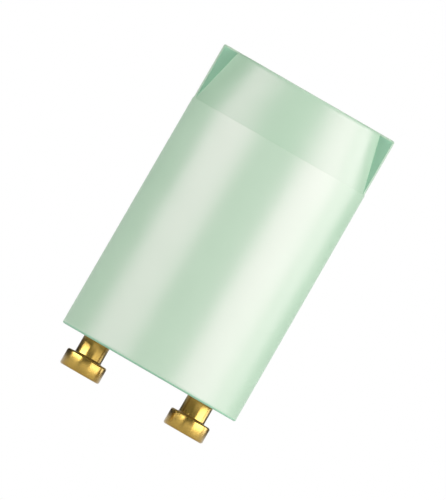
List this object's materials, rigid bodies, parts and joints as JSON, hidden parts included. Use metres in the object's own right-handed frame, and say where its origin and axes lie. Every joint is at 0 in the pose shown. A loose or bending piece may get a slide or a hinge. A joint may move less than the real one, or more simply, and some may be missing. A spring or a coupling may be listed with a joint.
{
  "type": "fluorescent starter",
  "caption": "Round two-pin glow starter for a fluorescent lamp: moulded can with a tapered winged grip, brass contact pins, and the glow bulb and capacitor inside.",
  "frame": {"origin": "on the can's axis, level with the ends of the contact pins: the middle of the bottom of the bounding box", "axes": "+Z along the can's axis, from the contact pins towards the grip. The pins stand side by side along X, and so do the grip's wings"},
  "size_m": [0.0212, 0.0212, 0.0382],
  "materials": {
    "can_plastic": "glossy pale mint polycarbonate, moulded",
    "base_plastic": "dull off-white polyamide, moulded",
    "pin_brass": "turned brass, bright",
    "bulb_glass": "clear blown glass",
    "stem_glass": "clear pressed glass",
    "nickel": "drawn nickel rod",
    "bimetal": "rolled bimetal strip",
    "tinned_wire": "tinned copper wire",
    "capacitor_coat": "dipped red-brown epoxy",
    "solder": "bright solder"
  },
  "bodies": {
    "root": {"housing": "can_plastic", "base_plate": "base_plastic", "contact_pin_left": "pin_brass", "contact_pin_right": "pin_brass", "bulb_glass": "bulb_glass", "bulb_stem": "stem_glass", "fixed_electrode": "nickel", "bimetal_post": "nickel", "bimetal_strip": "bimetal", "bulb_lead_left": "tinned_wire", "bulb_lead_right": "tinned_wire", "capacitor_body": "capacitor_coat", "capacitor_lead_left": "tinned_wire", "capacitor_lead_right": "tinned_wire", "solder_left": "solder", "solder_right": "solder"}
  },
  "joints": []
}
